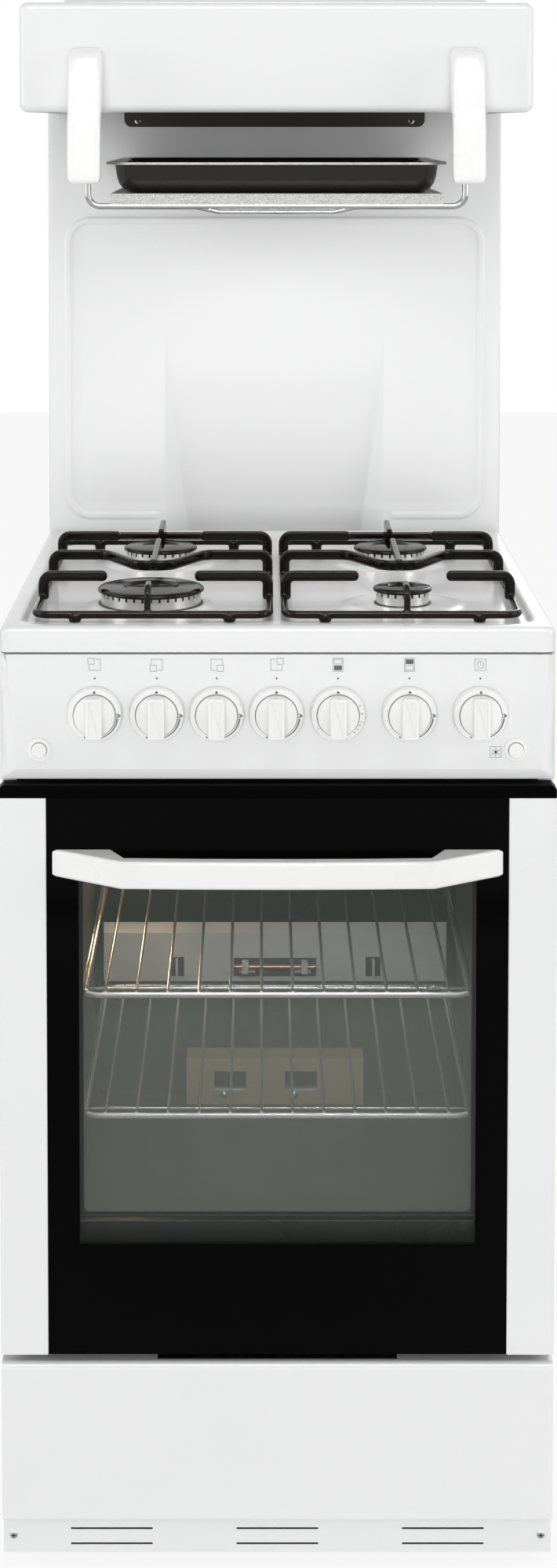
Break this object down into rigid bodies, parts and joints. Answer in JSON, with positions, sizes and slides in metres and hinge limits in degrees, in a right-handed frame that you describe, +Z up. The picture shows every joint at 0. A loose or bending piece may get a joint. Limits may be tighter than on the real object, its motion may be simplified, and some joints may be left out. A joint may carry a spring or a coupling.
{
  "type": "eye level grill cooker",
  "caption": "Free-standing gas cooker with an eye level grill under a hood, hob with lift-off pan supports, drop-down glass oven door and a storage drawer.",
  "frame": {"origin": "on the floor, in the middle of the overall width and depth", "axes": "+X to the user's right, -Y towards the user, +Z up"},
  "size_m": [0.504, 0.643, 1.463],
  "materials": {
    "white_enamel": "gloss vitreous enamel on steel",
    "white_plastic": "satin moulded plastic",
    "galvanised": "galvanised sheet",
    "black_plastic": "moulded plastic",
    "screw_steel": "zinc plated",
    "oven_enamel": "dark oven enamel",
    "seal_fibre": "heat resistant seal",
    "chrome_wire": "bright chrome",
    "aluminised": "aluminised sheet",
    "copper": "drawn tube",
    "burner_steel": "burner tube",
    "lamp_glass": "clear glass",
    "hinge_steel": "pressed steel",
    "door_steel": "dark enamel",
    "black_glass": "black printed glass with a clear window",
    "clear_glass": "heat resistant glass",
    "black_trim": "gloss",
    "tap_brass": "machined brass",
    "manifold": "extruded rail",
    "timer_case": "moulded case",
    "burner_aluminium": "cast and turned",
    "black_enamel": "gloss black enamel",
    "ceramic": "glazed ceramic",
    "shield_steel": "dark coated steel"
  },
  "bodies": {
    "cooker_body": {"side_panel_left": "white_enamel", "side_panel_right": "white_enamel", "back_panel": "galvanised", "base_plate": "galvanised", "levelling_feet": "black_plastic", "plinth": "white_enamel", "casing_screws": "screw_steel", "oven_front_frame": "oven_enamel", "oven_cavity": "oven_enamel", "door_seal": "seal_fibre", "shelf_runners": "chrome_wire", "oven_shelves": "chrome_wire", "oven_baffle": "aluminised", "thermostat_phial": "copper", "oven_burner": "burner_steel", "oven_burner_cover": "aluminised", "oven_lamp": "lamp_glass", "hinge_brackets": "hinge_steel", "drawer_runners": "galvanised", "facia_panel": "white_enamel", "gas_taps": "tap_brass", "gas_manifold": "manifold", "timer_unit": "timer_case", "button_bezels": "white_plastic", "gas_inlet": "tap_brass", "hob_tray": "white_enamel", "hob_burner_heads": "burner_aluminium", "hob_burner_caps": "black_enamel", "hob_electrodes": "ceramic", "splashback": "white_enamel", "splashback_rear_cover": "galvanised", "grill_hood": "white_enamel", "hood_vent_cover": "white_enamel", "grill_arms": "white_plastic", "grill_cradle": "chrome_wire", "grill_reflector": "aluminised", "grill_heat_shield": "shield_steel", "grill_burner": "burner_steel"},
    "oven_door": {"door_inner_panel": "door_steel", "door_outer_glass": "black_glass", "door_inner_glass": "clear_glass", "door_side_trims": "white_enamel", "door_top_trim": "black_trim", "door_handle": "white_plastic", "door_hinge_arms": "hinge_steel"},
    "storage_drawer": {"drawer_front": "white_enamel", "drawer_box": "galvanised"},
    "light_button": {"light_button": "white_plastic"},
    "ignition_button": {"ignition_button": "white_plastic"},
    "grill_pan": {"grill_pan": "black_enamel"},
    "grill_pan_rack": {"grill_pan_rack": "chrome_wire"},
    "pan_support_left": {"pan_support_left": "black_enamel"},
    "pan_support_right": {"pan_support_right": "black_enamel"},
    "knob_1": {"knob_1": "white_plastic"},
    "knob_2": {"knob_2": "white_plastic"},
    "knob_3": {"knob_3": "white_plastic"},
    "knob_4": {"knob_4": "white_plastic"},
    "knob_5": {"knob_5": "white_plastic"},
    "knob_6": {"knob_6": "white_plastic"},
    "knob_7": {"knob_7": "white_plastic"}
  },
  "joints": [
    {"name": "oven_door_hinge", "type": "hinge", "parent": "cooker_body", "child": "oven_door", "pos_m": [0, -0.266, 0.216], "axis": [1, 0, 0], "range_deg": [0, 90], "stiffness_Nm_per_rad": 3, "springref_deg": -11.46},
    {"name": "storage_drawer_slide", "type": "slide", "parent": "cooker_body", "child": "storage_drawer", "axis": [0, -1, 0], "range_m": [0, 0.32]},
    {"name": "grill_pan_slide", "type": "slide", "parent": "cooker_body", "child": "grill_pan", "axis": [0, -1, 0], "range_m": [0, 0.25]},
    {"name": "grill_pan_rack_lift", "type": "slide", "parent": "grill_pan", "child": "grill_pan_rack", "axis": [0, 0, 1], "range_m": [0, 0.03]},
    {"name": "pan_support_left_lift", "type": "slide", "parent": "cooker_body", "child": "pan_support_left", "axis": [0, 0, 1], "range_m": [0, 0.12]},
    {"name": "pan_support_right_lift", "type": "slide", "parent": "cooker_body", "child": "pan_support_right", "axis": [0, 0, 1], "range_m": [0, 0.12]},
    {"name": "light_button_press", "type": "slide", "parent": "cooker_body", "child": "light_button", "axis": [0, 1, 0], "range_m": [0, 0.003], "stiffness_N_per_m": 400},
    {"name": "ignition_button_press", "type": "slide", "parent": "cooker_body", "child": "ignition_button", "axis": [0, 1, 0], "range_m": [0, 0.003], "stiffness_N_per_m": 400},
    {"name": "knob_1_turn", "type": "hinge", "parent": "cooker_body", "child": "knob_1", "pos_m": [-0.16501, -0.2715, 0.794], "axis": [0, -1, 0], "range_deg": [0, 210]},
    {"name": "knob_2_turn", "type": "hinge", "parent": "cooker_body", "child": "knob_2", "pos_m": [-0.10901, -0.2715, 0.794], "axis": [0, -1, 0], "range_deg": [0, 210]},
    {"name": "knob_3_turn", "type": "hinge", "parent": "cooker_body", "child": "knob_3", "pos_m": [-0.05499, -0.2715, 0.794], "axis": [0, -1, 0], "range_deg": [0, 210]},
    {"name": "knob_4_turn", "type": "hinge", "parent": "cooker_body", "child": "knob_4", "pos_m": [-0.001, -0.2715, 0.794], "axis": [0, -1, 0], "range_deg": [0, 210]},
    {"name": "knob_5_turn", "type": "hinge", "parent": "cooker_body", "child": "knob_5", "pos_m": [0.05449, -0.2715, 0.794], "axis": [0, -1, 0], "range_deg": [0, 240]},
    {"name": "knob_6_turn", "type": "hinge", "parent": "cooker_body", "child": "knob_6", "pos_m": [0.119, -0.2715, 0.794], "axis": [0, -1, 0], "range_deg": [0, 210]},
    {"name": "knob_7_turn", "type": "hinge", "parent": "cooker_body", "child": "knob_7", "pos_m": [0.183, -0.2715, 0.794], "axis": [0, 1, 0], "range_deg": [0, 330]}
  ]
}
